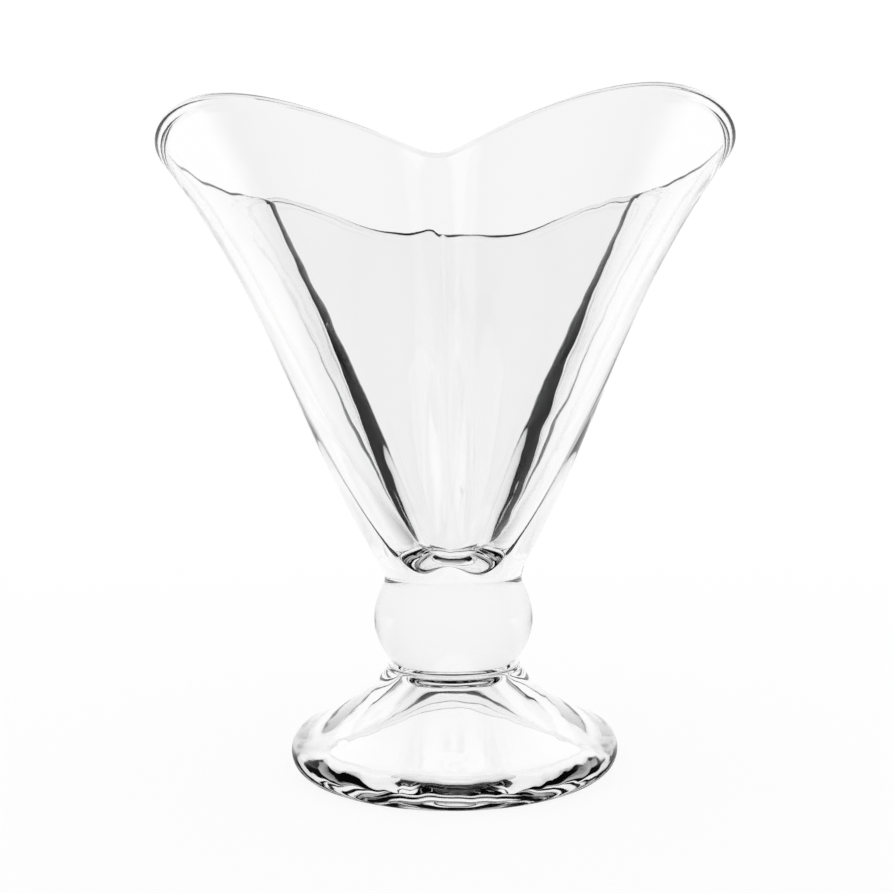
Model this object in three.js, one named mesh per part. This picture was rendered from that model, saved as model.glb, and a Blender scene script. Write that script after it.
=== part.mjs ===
// A footed glass salad cup: a bowl of four petals on a ball stem and a domed, hollow foot.
// Millimetres, +Z up. The origin is the middle of the ring that the foot rests on, and the front faces -Y.
import * as THREE from "three";

// Foot: a dome with a round edge, hollow underneath
const FOOT_RADIUS = 35.3;
const FOOT_EDGE_RADIUS = 4.3; // rounding of the outer edge
const FOOT_HEIGHT = 21.2;
const FOOT_NECK_RADIUS = 14.9; // top of the dome, under the lower collar
const FOOT_EDGE_SLOPE = 22; // degrees above level, where the dome leaves the round edge
const FOOT_NECK_SLOPE = 60; // degrees above level, where the dome meets the lower collar
const REST_RING_WIDTH = 1.7; // flat ring that stands on the table
const HOLLOW_ROOF_RADIUS = 7.5;
const HOLLOW_ROOF_HEIGHT = 17;
const HOLLOW_MOUTH_SLOPE = 26; // degrees above level, at the resting ring
const HOLLOW_ROOF_SLOPE = 60; // degrees above level, at the flat roof

// Stem: a ball between two collars
const LOWER_COLLAR_RADIUS = 14.4;
const LOWER_COLLAR_HEIGHT = 1.2;
const BALL_RADIUS = 17.35; // at its widest
const BALL_WIDEST_HEIGHT = 9; // above the lower collar
const BALL_HEIGHT = 16.9;
const BALL_BOTTOM_RADIUS = 13.6;
const BALL_TOP_RADIUS = 15.2;
const UPPER_COLLAR_RADIUS = 15.1;
const UPPER_COLLAR_HEIGHT = 2.4;

// Bowl: petals on the diagonals, creases and notches along X and Y
const PETALS = 4;
const BOWL_BASE_RADIUS = 15.3;
const TIP_HEIGHT = 89.7; // petal tip above the bowl's base
const TIP_RADIUS = 65;
const PETAL_BELLY = 0.265; // how far the low part of a petal swells beyond a straight line
const PETAL_SAG = 0.52; // how far a petal hangs in from a straight line before its flared lip
const PETAL_BREADTH = 0.77; // 0 gives pointed petals, higher values give broad ones
const NOTCH_HEIGHT = 80.7; // notch between two petals, above the bowl's base
const NOTCH_RADIUS = 41.3;
const RIM_BREADTH = 0.1; // 0 gives the rim a plain wave, higher values give it flatter tops
const CREASE_ROUNDING = 0.25; // 0 gives a sharp fold between two petals, higher values a soft one
const CREASE_FOOT_RADIUS = 7.7; // where a crease's straight line would meet the bowl's base
const GROOVE_RUNOUT = 5; // power of the curve that ends a crease's groove on the outside, at its foot
const RIDGE_RUNOUT = 14; // the same for a crease's ridge on the inside, which runs further down
const WALL_THICKNESS = 3.3; // low in the wall
const LIP_THICKNESS = 2.6;
const FLOOR_THICKNESS = 2.4;
const FLOOR_RADIUS = 8.2; // flat bottom of the cavity

// Facets
const ROUND_SEGMENTS = 48;
const BOWL_SEGMENTS = 96;
const CREASE_FINENESS = 0.6; // 0 spreads the segments evenly, higher values crowd them at the creases
const EDGE_STEPS = 7;
const CURVE_STEPS = 7;
const BALL_STEPS = 10;
const WALL_STEPS = 14;
const WALL_CROWDING = 1.5; // 1 spreads the wall's levels evenly, higher values crowd them at its foot
const LIP_STEPS = 4;

const radians = THREE.MathUtils.degToRad;

function clearGlass() {
  return new THREE.MeshStandardMaterial({
    color: 0xf2f6f5,
    roughness: 0.04,
    metalness: 0,
    transparent: true,
    opacity: 0.35,
  });
}

// Lathes turn about Y, and the cup stands along Z.
function stand(geometry) {
  return geometry.rotateX(Math.PI / 2);
}

function turned(profile) {
  return stand(new THREE.LatheGeometry(profile, ROUND_SEGMENTS));
}

// A curve from an outer point up to an inner one, leaving each at its own slope above level.
function risingCurve(outer, outerSlope, inner, innerSlope) {
  const up = new THREE.Vector2(-Math.cos(radians(outerSlope)), Math.sin(radians(outerSlope)));
  const down = new THREE.Vector2(Math.cos(radians(innerSlope)), -Math.sin(radians(innerSlope)));
  const apart = inner.clone().sub(outer);
  const reach = apart.cross(down) / up.cross(down);
  const corner = outer.clone().addScaledVector(up, reach);
  return new THREE.QuadraticBezierCurve(outer, corner, inner).getPoints(CURVE_STEPS);
}

function footGeometry() {
  const edgeCentre = FOOT_RADIUS - FOOT_EDGE_RADIUS;
  const edge = [];
  for (let step = 0; step <= EDGE_STEPS; step++) {
    const angle = radians(-90 + (step / EDGE_STEPS) * (180 - FOOT_EDGE_SLOPE));
    const radius = edgeCentre + FOOT_EDGE_RADIUS * Math.cos(angle);
    const height = FOOT_EDGE_RADIUS + FOOT_EDGE_RADIUS * Math.sin(angle);
    edge.push(new THREE.Vector2(radius, height));
  }
  const neck = new THREE.Vector2(FOOT_NECK_RADIUS, FOOT_HEIGHT);
  const dome = risingCurve(edge.at(-1), FOOT_EDGE_SLOPE, neck, FOOT_NECK_SLOPE);
  const mouth = new THREE.Vector2(edgeCentre - REST_RING_WIDTH, 0);
  const roof = new THREE.Vector2(HOLLOW_ROOF_RADIUS, HOLLOW_ROOF_HEIGHT);
  const hollow = risingCurve(mouth, HOLLOW_MOUTH_SLOPE, roof, HOLLOW_ROOF_SLOPE);
  return turned([
    new THREE.Vector2(0, HOLLOW_ROOF_HEIGHT),
    ...hollow.reverse(),
    ...edge,
    ...dome.slice(1),
    new THREE.Vector2(0, FOOT_HEIGHT),
  ]);
}

function collarGeometry(radius, height) {
  return turned([
    new THREE.Vector2(0, 0),
    new THREE.Vector2(radius, 0),
    new THREE.Vector2(radius, height),
    new THREE.Vector2(0, height),
  ]);
}

function ballGeometry() {
  const profile = [new THREE.Vector2(0, 0)];
  for (let step = 0; step <= BALL_STEPS; step++) {
    const height = (step / BALL_STEPS) * BALL_HEIGHT;
    const above = height > BALL_WIDEST_HEIGHT;
    const endRadius = above ? BALL_TOP_RADIUS : BALL_BOTTOM_RADIUS;
    const reach = above ? BALL_HEIGHT - BALL_WIDEST_HEIGHT : BALL_WIDEST_HEIGHT;
    const share = (height - BALL_WIDEST_HEIGHT) / reach;
    profile.push(new THREE.Vector2(BALL_RADIUS - (BALL_RADIUS - endRadius) * share ** 2, height));
  }
  profile.push(new THREE.Vector2(0, BALL_HEIGHT));
  return turned(profile);
}

// Directions round the bowl, from one crease and back to it.
function bowlDirections() {
  const directions = [];
  for (let turn = 0; turn < BOWL_SEGMENTS; turn++) {
    const even = (turn / BOWL_SEGMENTS) * 2 * Math.PI;
    directions.push(even - (CREASE_FINENESS / PETALS) * Math.sin(PETALS * even));
  }
  return directions;
}

// 0 along a crease, 1 along a petal's middle.
function petalShare(angle) {
  const wave = Math.abs(Math.sin((PETALS / 2) * angle));
  const rise = Math.hypot(wave, CREASE_ROUNDING) - CREASE_ROUNDING;
  const share = rise / (Math.hypot(1, CREASE_ROUNDING) - CREASE_ROUNDING);
  return share * (1 + PETAL_BREADTH * (1 - share));
}

// Radius along a crease: straight up the wall, with a run-out to the radius at its foot.
function creaseLine(share, footRadius, runout) {
  const straight = CREASE_FOOT_RADIUS + (NOTCH_RADIUS - CREASE_FOOT_RADIUS) * share;
  return straight + (footRadius - CREASE_FOOT_RADIUS) * (1 - share) ** runout;
}

// Radius along a petal's middle.
function petalLine(share) {
  const bow = PETAL_BELLY * (1 - share) - PETAL_SAG * share;
  return BOWL_BASE_RADIUS + (TIP_RADIUS - BOWL_BASE_RADIUS) * (share + share * (1 - share) * bow);
}

// A closed line round the bowl, seen from above.
function lobedLine(directions, creaseRadius, petalRadius) {
  return directions.map((angle) => {
    const radius = creaseRadius + (petalRadius - creaseRadius) * petalShare(angle);
    return new THREE.Vector2(radius * Math.cos(angle), radius * Math.sin(angle));
  });
}

// The line that runs inside a closed line, at a distance from it.
function lineInside(line, distance) {
  return line.map((point, place) => {
    const along = line[(place + 1) % line.length].clone().sub(line.at(place - 1)).normalize();
    return new THREE.Vector2(point.x - along.y * distance, point.y + along.x * distance);
  });
}

// The bowl's rings of points, from the middle of its base up the outside, over the lip and down to its floor.
function bowlRings() {
  const directions = bowlDirections();
  const lipHeight = LIP_THICKNESS / 2;
  const rimHeights = directions.map((angle) => {
    const wave = Math.sin((PETALS / 2) * angle) ** 2;
    const rise = wave * (1 + RIM_BREADTH * (1 - wave));
    return NOTCH_HEIGHT + (TIP_HEIGHT - NOTCH_HEIGHT) * rise - lipHeight;
  });
  const ring = (line, heightAt) =>
    line.map((point, place) => new THREE.Vector3(point.x, point.y, heightAt(rimHeights[place])));
  const baseWall = BOWL_BASE_RADIUS - FLOOR_RADIUS;
  const outside = [];
  const inside = [];
  for (let step = 0; step <= WALL_STEPS; step++) {
    const share = (step / WALL_STEPS) ** WALL_CROWDING;
    const groove = creaseLine(share, BOWL_BASE_RADIUS, GROOVE_RUNOUT);
    const outerLine = lobedLine(directions, groove, petalLine(share));
    outside.push(ring(outerLine, (rimHeight) => rimHeight * share));
    const ridge = creaseLine(share, FLOOR_RADIUS + WALL_THICKNESS, RIDGE_RUNOUT);
    const thickening = (baseWall - WALL_THICKNESS) * (1 - share) ** 3;
    const thickness = WALL_THICKNESS + (LIP_THICKNESS - WALL_THICKNESS) * share ** 3;
    const innerLine = lineInside(lobedLine(directions, ridge, petalLine(share) - thickening), thickness);
    inside.unshift(ring(innerLine, (rimHeight) => FLOOR_THICKNESS + (rimHeight - FLOOR_THICKNESS) * share));
  }
  const lip = [];
  for (let step = 1; step < LIP_STEPS; step++) {
    const turn = (step / LIP_STEPS) * Math.PI;
    const across = (1 - Math.cos(turn)) / 2;
    lip.push(
      outside.at(-1).map((outer, place) => {
        const point = outer.clone().lerp(inside[0][place], across);
        point.z += lipHeight * Math.sin(turn);
        return point;
      }),
    );
  }
  const base = directions.map(() => new THREE.Vector3(0, 0, 0));
  const floor = directions.map(() => new THREE.Vector3(0, 0, FLOOR_THICKNESS));
  return [base, ...outside, ...lip, ...inside, floor];
}

// A closed skin through the bowl's rings.
function bowlGeometry() {
  const rings = bowlRings();
  const corners = [];
  for (let level = 1; level < rings.length; level++) {
    for (let turn = 0; turn < BOWL_SEGMENTS; turn++) {
      const next = (turn + 1) % BOWL_SEGMENTS;
      const low = [rings[level - 1][turn], rings[level - 1][next]];
      const high = [rings[level][turn], rings[level][next]];
      if (level > 1) corners.push(low[0], low[1], high[1]);
      if (level < rings.length - 1) corners.push(low[0], high[1], high[0]);
    }
  }
  return new THREE.BufferGeometry().setFromPoints(corners);
}

const group = new THREE.Group();

function place(name, geometry, height) {
  const mesh = new THREE.Mesh(geometry, clearGlass());
  mesh.name = name;
  mesh.position.z = height;
  group.add(mesh);
}

// Each piece stands on the flat top of the one below.
const lowerCollarBase = FOOT_HEIGHT;
const ballBase = lowerCollarBase + LOWER_COLLAR_HEIGHT;
const upperCollarBase = ballBase + BALL_HEIGHT;
const bowlBase = upperCollarBase + UPPER_COLLAR_HEIGHT;

place("foot", footGeometry(), 0);
place("lower_collar", collarGeometry(LOWER_COLLAR_RADIUS, LOWER_COLLAR_HEIGHT), lowerCollarBase);
place("stem_ball", ballGeometry(), ballBase);
place("upper_collar", collarGeometry(UPPER_COLLAR_RADIUS, UPPER_COLLAR_HEIGHT), upperCollarBase);
place("bowl", bowlGeometry(), bowlBase);

export default group;
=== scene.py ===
# Looks of a footed pressed-glass salad cup: four flared petals on a ball stem and a domed, hollow foot.
# Metres, +Z up, standing on z = 0 with the front towards -Y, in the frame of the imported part.
import math

import bpy
import numpy as np
from mathutils import Matrix, Vector


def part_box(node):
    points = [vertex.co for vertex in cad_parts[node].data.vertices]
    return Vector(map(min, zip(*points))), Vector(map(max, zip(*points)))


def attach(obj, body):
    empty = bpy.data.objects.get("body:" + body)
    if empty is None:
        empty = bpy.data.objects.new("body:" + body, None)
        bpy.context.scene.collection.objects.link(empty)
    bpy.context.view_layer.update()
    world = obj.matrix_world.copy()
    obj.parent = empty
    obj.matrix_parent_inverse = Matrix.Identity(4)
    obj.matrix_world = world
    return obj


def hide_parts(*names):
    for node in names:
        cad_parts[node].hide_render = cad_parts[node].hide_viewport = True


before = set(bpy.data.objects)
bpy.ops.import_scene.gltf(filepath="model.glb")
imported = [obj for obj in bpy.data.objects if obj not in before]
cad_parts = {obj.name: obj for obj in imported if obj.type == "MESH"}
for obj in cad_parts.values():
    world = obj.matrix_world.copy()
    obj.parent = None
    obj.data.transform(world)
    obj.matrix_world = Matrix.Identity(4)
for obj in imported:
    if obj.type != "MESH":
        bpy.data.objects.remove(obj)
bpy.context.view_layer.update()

MM = 0.001

# Levels of the stack and two radii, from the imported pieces
FOOT_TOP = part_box("foot")[1].z
LOWER_RING_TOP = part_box("lower_collar")[1].z
BALL_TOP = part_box("stem_ball")[1].z
NECK_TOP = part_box("upper_collar")[1].z
PETAL_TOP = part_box("bowl")[1].z
FOOT_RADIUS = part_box("foot")[1].x
BALL_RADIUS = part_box("stem_ball")[1].x

# Foot
FOOT_EDGE_RADIUS = 4.3 * MM
FOOT_EDGE_SLOPE = math.radians(22)
FOOT_SHOULDER_RADIUS = 14.9 * MM
FOOT_SHOULDER_SLOPE = math.radians(60)
REST_RING_WIDTH = 1.7 * MM
HOLLOW_ROOF_RADIUS = 7.5 * MM
HOLLOW_ROOF_HEIGHT = 17 * MM
HOLLOW_MOUTH_SLOPE = math.radians(26)
HOLLOW_ROOF_SLOPE = math.radians(60)
HOLLOW_CORNER = 2.4 * MM

# Stem: the pieces fuse at grooves, where both sides have the same radius
LOWER_RING_RADIUS = 14.4 * MM
FOOT_GROOVE_RADIUS = 14.1 * MM
BALL_FOOT_GROOVE_RADIUS = 13.5 * MM
BALL_WIDEST_HEIGHT = 9 * MM
BALL_BOTTOM_RADIUS = 13.6 * MM
BALL_TOP_RADIUS = 15.3 * MM
NECK_WAIST_RADIUS = 15 * MM
GROOVE_CORNER = 0.4 * MM

# Bowl: petals on the diagonals, creases and notches along X and Y
PETALS = 4
BOWL_BASE_RADIUS = 15.3 * MM
PETAL_HEIGHT = PETAL_TOP - NECK_TOP
TIP_RADIUS = 65 * MM
NOTCH_HEIGHT = 80.7 * MM
NOTCH_RADIUS = 41.3 * MM
RIM_BREADTH = 0.1
PETAL_BREADTH = 0.77
PETAL_BELLY = 0.265
PETAL_SAG = 0.52
CREASE_ROUNDING = 0.25
CREASE_FOOT_RADIUS = 7.7 * MM
GROOVE_RUNOUT = 3
RIDGE_RUNOUT = 9
WALL_THICKNESS = 3.3 * MM
LIP_THICKNESS = 2.6 * MM
THICKNESS_RUNOUT = 3
FLOOR_THICKNESS = 2.4 * MM
FLOOR_RADIUS = 7.4 * MM
FLOOR_CORNER_SHARE = 0.07

# Fineness of the meshes
TURNS = 192
BOWL_TURNS = 320
CREASE_FINENESS = 0.8
WALL_STEPS = 80
WALL_CROWDING = 1.5
LIP_STEPS = 16
CURVE_STEPS = 40
EDGE_STEPS = 24
RING_STEPS = 16
CORNER_STEPS = 8
ROOF_CORNER_END = 3
DISC_RINGS = 5
SHARP_ANGLE = math.radians(40)

# Glass: clear, with shallow waves from the mould and the fire polish, deeper waves in the hollow of the foot,
# and a resting ring that is dull with wear
GLASS_COLOUR = (0.995, 0.995, 0.995, 1)
GLASS_IOR = 1.52
WAVE_SPACING = 9 * MM
WAVE_HEIGHT = 0.1 * MM
WAVE_DETAIL = 1
HOLLOW_WAVE_SPACING = 6 * MM
HOLLOW_WAVE_HEIGHT = 0.15 * MM
HOLLOW_WAVE_FADE = 2 * MM
WORN_HEIGHT = 1.5 * MM
WORN_ROUGHNESS = 0.3

# Studio: a white room and table, with painted shade in the glass: dimmer towards the front where the glass
# mirrors them, and darker as a ray turns round inside the glass
TABLE_HALF = 2.0
TABLE_WHITE = (0.9, 0.9, 0.9, 1)
SHADOW_SHARE = 0.1
SHADOW_FADE_START = 100 * MM
SHADOW_FADE_END = 500 * MM
NEAR_WALL_DIMMING = 0.95
FAR_WALL_DIMMING = 0.15
TABLE_BRIGHT_FROM = 30 * MM
TABLE_DIM_FROM = -10 * MM
ROOM_BRIGHT_FROM = 0.6
ROOM_DIM_FROM = 0

# Counts of a ray's turns in the glass, as the first and the last of a fade. These fades paint shade into the
# room and table seen through the glass.
# A wall bends a ray twice, so a ray past the near wall is bent 2 times and a ray past both walls 4 times.
ONE_TO_TWO_WALLS = (2, 4)
FIRST_MIRRORING = (0, 1)
SECOND_MIRRORING = (1, 2)
SHADE_PAINTING_MIRRORING = (3, 5)

# Camera, from the fitted perspective of the photograph
IMAGE_PIXELS = 893
SENSOR_WIDTH = 36
FOCAL_PIXELS = 1061.6
CAMERA_DISTANCE = 232.9 * MM
CAMERA_HEIGHT = 69.65 * MM
CAMERA_SIDE_ANGLE = math.radians(2.77)
CAMERA_ROLL = math.radians(0.51)
CAMERA_NEAR_LIMIT = 1 * MM
AXIS_RIGHT_OF_CENTRE = 5.4
HORIZON_ABOVE_CENTRE = 3


# Profiles, as rows of radius and height

def arc(centre, radius, start, end, steps):
    angles = np.linspace(start, end, steps + 1)
    return np.stack([centre[0] + radius * np.cos(angles), centre[1] + radius * np.sin(angles)], axis=1)


def bend(start, corner, end, steps):
    start, corner, end = np.array(start), np.array(corner), np.array(end)
    shares = np.linspace(0, 1, steps + 1)
    return np.array([start * (1 - s) ** 2 + corner * 2 * s * (1 - s) + end * s**2 for s in shares])


def rising_curve(outer, outer_slope, inner, inner_slope, steps):
    rise = inner[1] - outer[1]
    run = outer[0] - inner[0]
    first, last = math.tan(outer_slope), math.tan(inner_slope)
    along = (rise - run * last) / (first - last)
    corner = (outer[0] - along, outer[1] + along * first)
    return bend(outer, corner, inner, steps)


def disc(edge_radius, height, outward):
    """A flat end of a profile, from the axis outward or back to it, without its edge."""
    radii = np.linspace(0, edge_radius, DISC_RINGS + 1)[:-1]
    rings = np.stack([radii, np.full(DISC_RINGS, height)], axis=1)
    return rings if outward else rings[::-1]


def foot_profile():
    """From the roof of the hollow down to the resting ring, round the edge and over the dome."""
    edge_centre = (FOOT_RADIUS - FOOT_EDGE_RADIUS, FOOT_EDGE_RADIUS)
    mouth = (edge_centre[0] - REST_RING_WIDTH, 0)
    roof = (HOLLOW_ROOF_RADIUS, HOLLOW_ROOF_HEIGHT)
    hollow = rising_curve(mouth, HOLLOW_MOUTH_SLOPE, roof, HOLLOW_ROOF_SLOPE, CURVE_STEPS)[::-1]
    roof_edge = (HOLLOW_ROOF_RADIUS - HOLLOW_CORNER, HOLLOW_ROOF_HEIGHT)
    roof_corner = bend(roof_edge, hollow[0], hollow[ROOF_CORNER_END], CORNER_STEPS)
    edge = arc(edge_centre, FOOT_EDGE_RADIUS, -math.pi / 2, math.pi / 2 - FOOT_EDGE_SLOPE, EDGE_STEPS)
    dome_top = (FOOT_SHOULDER_RADIUS, FOOT_TOP - GROOVE_CORNER)
    dome = rising_curve(edge[-1], FOOT_EDGE_SLOPE, dome_top, FOOT_SHOULDER_SLOPE, CURVE_STEPS)
    shoulder_corner = (FOOT_SHOULDER_RADIUS - GROOVE_CORNER / 2, FOOT_TOP)
    shoulder = bend(dome[-1], shoulder_corner, (FOOT_GROOVE_RADIUS, FOOT_TOP), CORNER_STEPS)
    return np.concatenate([
        disc(*roof_edge, True),
        roof_corner,
        hollow[ROOF_CORNER_END + 1:],
        edge,
        dome[1:],
        shoulder[1:],
        disc(FOOT_GROOVE_RADIUS, FOOT_TOP, False),
    ])


def ring_profile(bottom_radius, bottom, middle_radius, top_radius, top):
    """Bowed outside, through a radius at half its height, with flat ends."""
    corner = (2 * middle_radius - (bottom_radius + top_radius) / 2, (bottom + top) / 2)
    bow = bend((bottom_radius, bottom), corner, (top_radius, top), RING_STEPS)
    return np.concatenate([disc(bottom_radius, bottom, True), bow, disc(top_radius, top, False)])


def ball_profile():
    widest = LOWER_RING_TOP + BALL_WIDEST_HEIGHT
    heights = np.linspace(LOWER_RING_TOP + GROOVE_CORNER, BALL_TOP, CURVE_STEPS + 1)
    below = heights < widest
    share = np.where(below, (widest - heights) / BALL_WIDEST_HEIGHT, (heights - widest) / (BALL_TOP - widest))
    end_radius = np.where(below, BALL_BOTTOM_RADIUS, BALL_TOP_RADIUS)
    belly = np.stack([BALL_RADIUS - (BALL_RADIUS - end_radius) * share**2, heights], axis=1)
    groove = (BALL_FOOT_GROOVE_RADIUS, LOWER_RING_TOP)
    foot_side = bend(groove, (BALL_BOTTOM_RADIUS, LOWER_RING_TOP), belly[0], CORNER_STEPS)
    return np.concatenate([disc(*groove, True), foot_side, belly[1:], disc(BALL_TOP_RADIUS, BALL_TOP, False)])


def crease_line(share, foot_radius, runout):
    """Straight up the wall, with a run-out to the radius at its foot."""
    straight = CREASE_FOOT_RADIUS + (NOTCH_RADIUS - CREASE_FOOT_RADIUS) * share
    return straight + (foot_radius - CREASE_FOOT_RADIUS) * (1 - share) ** runout


def petal_line(share):
    bow = PETAL_BELLY * (1 - share) - PETAL_SAG * share
    return BOWL_BASE_RADIUS + (TIP_RADIUS - BOWL_BASE_RADIUS) * (share + share * (1 - share) * bow)


def petal_share(angles):
    """0 along a crease and 1 along the middle of a petal."""
    wave = np.abs(np.sin(PETALS / 2 * angles))
    share = np.hypot(wave, CREASE_ROUNDING) - CREASE_ROUNDING
    share /= math.hypot(1, CREASE_ROUNDING) - CREASE_ROUNDING
    return share * (1 + PETAL_BREADTH * (1 - share))


def line_inside(radius, angles, distance):
    """Radii of the line that runs inside a closed line, at a distance from it."""
    points = radius * np.exp(1j * angles)
    along = np.roll(points, -1) - np.roll(points, 1)
    inside = points + 1j * along / np.abs(along) * distance
    return np.interp(angles, np.angle(inside), np.abs(inside), period=2 * math.pi)


def bowl_profiles(angles):
    """One profile per angle, from the middle of the base over the lip to the middle of the cavity's floor."""
    wave = np.sin(PETALS / 2 * angles) ** 2
    petal = petal_share(angles)
    rise = wave * (1 + RIM_BREADTH * (1 - wave))
    rim_height = NOTCH_HEIGHT + (PETAL_HEIGHT - NOTCH_HEIGHT) * rise - LIP_THICKNESS / 2
    floor_height = NECK_TOP + FLOOR_THICKNESS

    def outside(share):
        crease = crease_line(share, BOWL_BASE_RADIUS, GROOVE_RUNOUT)
        radius = crease + (petal_line(share) - crease) * petal
        return np.stack([radius, NECK_TOP + rim_height * share], axis=1)

    def inside(share):
        crease = crease_line(share, FLOOR_RADIUS + WALL_THICKNESS, RIDGE_RUNOUT)
        thickening = (BOWL_BASE_RADIUS - FLOOR_RADIUS - WALL_THICKNESS) * (1 - share) ** THICKNESS_RUNOUT
        thickness = WALL_THICKNESS + (LIP_THICKNESS - WALL_THICKNESS) * share ** THICKNESS_RUNOUT
        middle = crease + (petal_line(share) - thickening - crease) * petal
        radius = line_inside(middle, angles, thickness)
        return np.stack([radius, floor_height + (rim_height - FLOOR_THICKNESS) * share], axis=1)

    def ring(radius, height):
        return np.full((angles.size, 2), (radius, height))

    outer = [outside(share) for share in np.linspace(0, 1, WALL_STEPS + 1) ** WALL_CROWDING]
    inner = [inside(share) for share in np.linspace(1, FLOOR_CORNER_SHARE, WALL_STEPS)]
    lip_middle = (outer[-1] + inner[0]) / 2
    lip_half = (outer[-1] - inner[0]) / 2
    lip_top = np.array([0, LIP_THICKNESS / 2])
    lip = [lip_middle + lip_half * math.cos(turn) + lip_top * math.sin(turn)
           for turn in np.linspace(0, math.pi, LIP_STEPS + 1)]
    floor_edge = (2 * FLOOR_RADIUS - inner[-1][:, 0].max(), floor_height)
    floor_corner = bend(inner[-1], ring(FLOOR_RADIUS, floor_height), ring(*floor_edge), CORNER_STEPS)
    base = [ring(*point) for point in disc(BOWL_BASE_RADIUS, NECK_TOP, True)]
    floor = [ring(*point) for point in disc(*floor_edge, False)]
    rings = [*base, *outer, *lip[1:], *inner[1:], *floor_corner[1:], *floor]
    return np.stack(rings, axis=1)


# Meshes

def glass_piece(name, node, angles, profiles, fused_ends):
    """A closed skin through one profile per angle. Both ends of each profile lie on the axis."""
    turns = angles.size
    radius = profiles[:, 1:-1, 0].T
    height = profiles[:, 1:-1, 1].T
    rings = np.stack([radius * np.cos(angles), radius * np.sin(angles), height], axis=2)
    poles = [(0, 0, profiles[0, 0, 1]), (0, 0, profiles[0, -1, 1])]
    points = np.concatenate([rings.reshape(-1, 3), poles])
    first_pole = rings.shape[0] * turns
    last_pole = first_pole + 1
    last_ring = first_pole - turns
    sides = [(i, (i + 1) % turns) for i in range(turns)]
    faces = [(first_pole, j, i) for i, j in sides]
    for low in range(0, last_ring, turns):
        high = low + turns
        faces += [(low + i, low + j, high + j, high + i) for i, j in sides]
    faces += [(last_pole, last_ring + i, last_ring + j) for i, j in sides]
    mesh = bpy.data.meshes.new(name)
    mesh.from_pydata(points.tolist(), [], faces)
    mesh.materials.append(glass)
    mesh.materials.append(fused_glass)
    fused = np.zeros(len(faces), dtype=np.int32)
    disc_faces = DISC_RINGS * turns
    if "bottom" in fused_ends:
        fused[:disc_faces] = 1
    if "top" in fused_ends:
        fused[-disc_faces:] = 1
    mesh.polygons.foreach_set("material_index", fused)
    mesh.polygons.foreach_set("use_smooth", np.ones(len(faces), dtype=bool))
    mesh.update()
    mesh.set_sharp_from_angle(angle=SHARP_ANGLE)
    piece = bpy.data.objects.new(name, mesh)
    bpy.context.scene.collection.objects.link(piece)
    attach(piece, "root")
    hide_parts(node)


def turned_piece(name, node, profile, fused_ends):
    angles = np.linspace(0, 2 * math.pi, TURNS, endpoint=False)
    glass_piece(name, node, angles, np.repeat(profile[None], TURNS, axis=0), fused_ends)


# Shaders

class Wire:
    """One output of a node. Arithmetic on it adds Math nodes to the same shader."""

    def __init__(self, shader, socket):
        self.shader = shader
        self.socket = socket

    def maths(self, operation, first, second):
        return self.shader.node("ShaderNodeMath", {"operation": operation}, {0: first, 1: second})

    def __add__(self, other):
        return self.maths("ADD", self, other)

    def __sub__(self, other):
        return self.maths("SUBTRACT", self, other)

    def __rsub__(self, other):
        return self.maths("SUBTRACT", other, self)

    def __mul__(self, other):
        return self.maths("MULTIPLY", self, other)

    __radd__ = __add__
    __rmul__ = __mul__


class Shader:
    """The nodes of one material, or of the world."""

    def __init__(self, owner):
        owner.use_nodes = True
        self.tree = owner.node_tree
        self.tree.nodes.clear()

    def node(self, kind, settings, sockets, output=0):
        made = self.tree.nodes.new(kind)
        for setting, value in settings.items():
            setattr(made, setting, value)
        for socket, value in sockets.items():
            if isinstance(value, Wire):
                self.tree.links.new(value.socket, made.inputs[socket])
            else:
                made.inputs[socket].default_value = value
        return Wire(self, made.outputs[output]) if made.outputs else None


def fade(value, first, last, at_first=0, at_last=1):
    """Runs from one number to another as a value goes from first to last, and is level before and after."""
    return value.shader.node("ShaderNodeMapRange", {}, {
        "Value": value, "From Min": first, "From Max": last, "To Min": at_first, "To Max": at_last})


def length(vector):
    return vector.shader.node("ShaderNodeVectorMath", {"operation": "LENGTH"}, {0: vector}, "Value")


def along_axis(vector, axis):
    return vector.shader.node("ShaderNodeSeparateXYZ", {}, {"Vector": vector}, axis)


def waves(place, spacing):
    sockets = {"Vector": place, "Scale": 1 / spacing, "Detail": WAVE_DETAIL}
    return place.shader.node("ShaderNodeTexNoise", {}, sockets)


def clear_glass():
    material = bpy.data.materials.new("clear_pressed_glass")
    shader = Shader(material)
    place = shader.node("ShaderNodeTexCoord", {}, {}, "Object")
    height = along_axis(place, "Z")
    radius = length(shader.node("ShaderNodeVectorMath", {"operation": "MULTIPLY"}, {0: place, 1: (1, 1, 0)}))
    hollow_slope = HOLLOW_ROOF_HEIGHT / (FOOT_RADIUS - HOLLOW_ROOF_RADIUS)
    above_hollow = height + radius * hollow_slope - FOOT_RADIUS * hollow_slope
    hollow_waves = fade(above_hollow, 0, HOLLOW_WAVE_FADE, HOLLOW_WAVE_HEIGHT, 0)
    relief = waves(place, WAVE_SPACING) * WAVE_HEIGHT + waves(place, HOLLOW_WAVE_SPACING) * hollow_waves
    surface = shader.node("ShaderNodeBsdfPrincipled", {}, {
        "Base Color": GLASS_COLOUR,
        "Roughness": fade(height, 0, WORN_HEIGHT, WORN_ROUGHNESS, 0),
        "IOR": GLASS_IOR,
        "Transmission Weight": 1,
        "Normal": shader.node("ShaderNodeBump", {}, {"Height": relief, "Distance": 1}),
    })
    shader.node("ShaderNodeOutputMaterial", {}, {"Surface": surface})
    return material


def fused_joint():
    """Not seen at all, because the glass runs on through the discs where pieces meet."""
    material = bpy.data.materials.new("fused_joint")
    shader = Shader(material)
    surface = shader.node("ShaderNodeBsdfPrincipled", {}, {"Alpha": 0, "IOR": GLASS_IOR})
    shader.node("ShaderNodeOutputMaterial", {}, {"Surface": surface})
    return material


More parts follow.
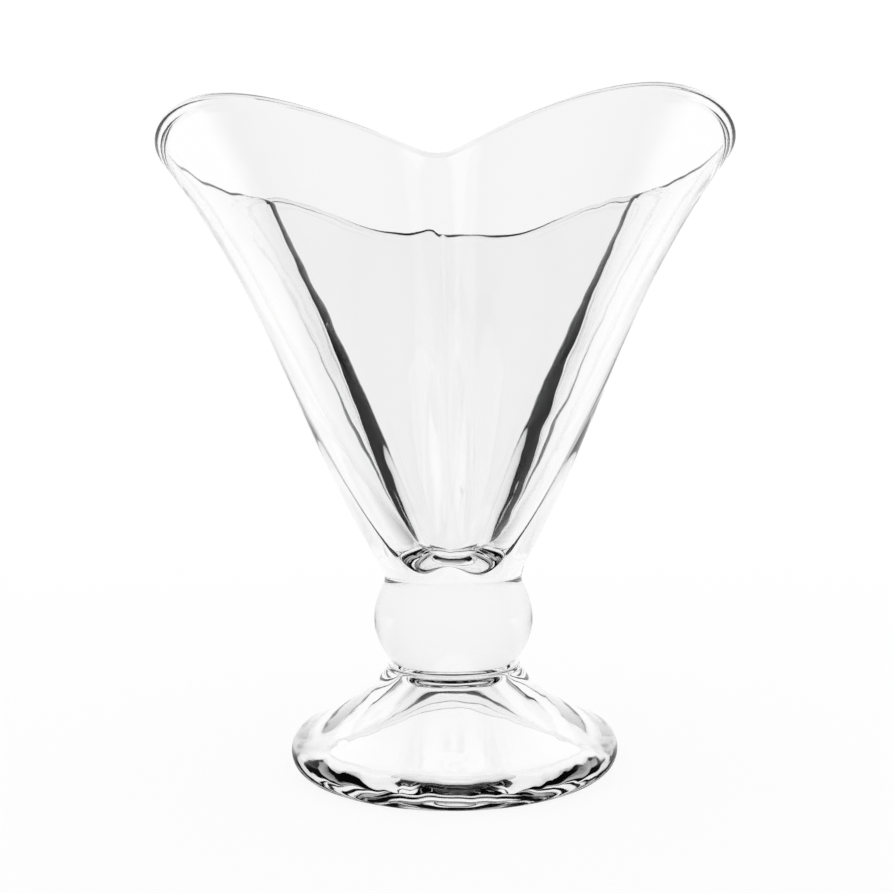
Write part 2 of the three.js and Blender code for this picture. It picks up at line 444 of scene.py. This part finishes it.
glass = clear_glass()
fused_glass = fused_joint()
foot_ring = ring_profile(FOOT_GROOVE_RADIUS, FOOT_TOP, LOWER_RING_RADIUS,
                         BALL_FOOT_GROOVE_RADIUS, LOWER_RING_TOP)
neck = ring_profile(BALL_TOP_RADIUS, BALL_TOP, NECK_WAIST_RADIUS, BOWL_BASE_RADIUS, NECK_TOP)
even_angles = np.linspace(0, 2 * math.pi, BOWL_TURNS, endpoint=False)
bowl_angles = even_angles - CREASE_FINENESS * np.sin(PETALS * even_angles) / PETALS

turned_piece("domed_foot", "foot", foot_profile(), ("top",))
turned_piece("foot_ring", "lower_collar", foot_ring, ("bottom", "top"))
turned_piece("stem_bead", "stem_ball", ball_profile(), ("bottom", "top"))
turned_piece("bowl_neck", "upper_collar", neck, ("bottom", "top"))
glass_piece("petal_bowl", "bowl", bowl_angles, bowl_profiles(bowl_angles), ("bottom",))


# Studio

def ray(shader, fact):
    return shader.node("ShaderNodeLightPath", {}, {}, fact)


def shade_painted_by_turns(shader):
    """Painted shade: falls from 1 to 0 as a ray is turned round again and again inside the glass."""
    return 1 - fade(ray(shader, "Glossy Depth"), *SHADE_PAINTING_MIRRORING)


def shade_painted_past_two_walls(shader):
    """Painted shade: falls from 1 to 0 as a ray that has passed two walls is turned round twice."""
    past_two_walls = fade(ray(shader, "Transmission Depth"), *ONE_TO_TWO_WALLS)
    turned_twice = fade(ray(shader, "Glossy Depth"), *SECOND_MIRRORING)
    return 1 - past_two_walls * turned_twice


def painted_front_reflection_shade(place, bright_from, dim_from):
    """Painted shade on reflections: falls from 1 towards the front of the room for rays that the glass has
    mirrored, less for rays past both walls.
    """
    shader = place.shader
    front = fade(along_axis(place, "Y"), bright_from, dim_from)
    mirrored = fade(ray(shader, "Glossy Depth"), *FIRST_MIRRORING)
    dimming = fade(ray(shader, "Transmission Depth"), *ONE_TO_TWO_WALLS, NEAR_WALL_DIMMING, FAR_WALL_DIMMING)
    return 1 - mirrored * front * dimming


def floor():
    """White to the camera and, with painted shade, through the glass, and matt with a faint shadow near the
    foot.
    """
    material = bpy.data.materials.new("white_table")
    shader = Shader(material)
    place = shader.node("ShaderNodeTexCoord", {}, {}, "Object")
    light = shade_painted_by_turns(shader) * painted_front_reflection_shade(place, TABLE_BRIGHT_FROM, TABLE_DIM_FROM)
    matt = shader.node("ShaderNodeBsdfDiffuse", {}, {"Color": TABLE_WHITE})
    white = shader.node("ShaderNodeEmission", {}, {"Color": light})
    unshadowed = fade(length(place), SHADOW_FADE_START, SHADOW_FADE_END, 1 - SHADOW_SHARE, 1)
    seen = ray(shader, "Is Camera Ray") * unshadowed
    share = seen + ray(shader, "Is Glossy Ray") + ray(shader, "Is Transmission Ray")
    surface = shader.node("ShaderNodeMixShader", {}, {0: share, 1: matt, 2: white})
    shader.node("ShaderNodeOutputMaterial", {}, {"Surface": surface})
    mesh = bpy.data.meshes.new("table")
    corners = [(TABLE_HALF * x, TABLE_HALF * y, 0) for x, y in ((-1, -1), (1, -1), (1, 1), (-1, 1))]
    mesh.from_pydata(corners, [], [(0, 1, 2, 3)])
    mesh.materials.append(material)
    table = bpy.data.objects.new("table", mesh)
    bpy.context.scene.collection.objects.link(table)


# The room is white to the camera and carries painted shade when seen through the glass.
def white_room():
    world = bpy.data.worlds.new("white_room")
    bpy.context.scene.world = world
    shader = Shader(world)
    direction = shader.node("ShaderNodeTexCoord", {}, {}, "Generated")
    after_painted_shade = shade_painted_by_turns(shader) * shade_painted_past_two_walls(shader)
    light = after_painted_shade * painted_front_reflection_shade(direction, ROOM_BRIGHT_FROM, ROOM_DIM_FROM)
    background = shader.node("ShaderNodeBackground", {}, {"Color": light})
    shader.node("ShaderNodeOutputWorld", {}, {"Surface": background})


def camera():
    data = bpy.data.cameras.new("camera")
    data.sensor_width = SENSOR_WIDTH
    data.lens = FOCAL_PIXELS / IMAGE_PIXELS * SENSOR_WIDTH
    data.clip_start = CAMERA_NEAR_LIMIT
    data.shift_x = -AXIS_RIGHT_OF_CENTRE / IMAGE_PIXELS
    data.shift_y = -HORIZON_ABOVE_CENTRE / IMAGE_PIXELS
    across = CAMERA_DISTANCE * math.sin(CAMERA_SIDE_ANGLE)
    forward = CAMERA_DISTANCE * math.cos(CAMERA_SIDE_ANGLE)
    eye = Vector((across, -forward, CAMERA_HEIGHT))
    level = Matrix.Rotation(CAMERA_SIDE_ANGLE, 4, "Z") @ Matrix.Rotation(math.pi / 2, 4, "X")
    holder = bpy.data.objects.new("camera", data)
    holder.matrix_world = Matrix.Translation(eye) @ level @ Matrix.Rotation(-CAMERA_ROLL, 4, "Z")
    bpy.context.scene.collection.objects.link(holder)
    bpy.context.scene.camera = holder


floor()
white_room()
camera()
bpy.context.scene.view_settings.view_transform = "Standard"
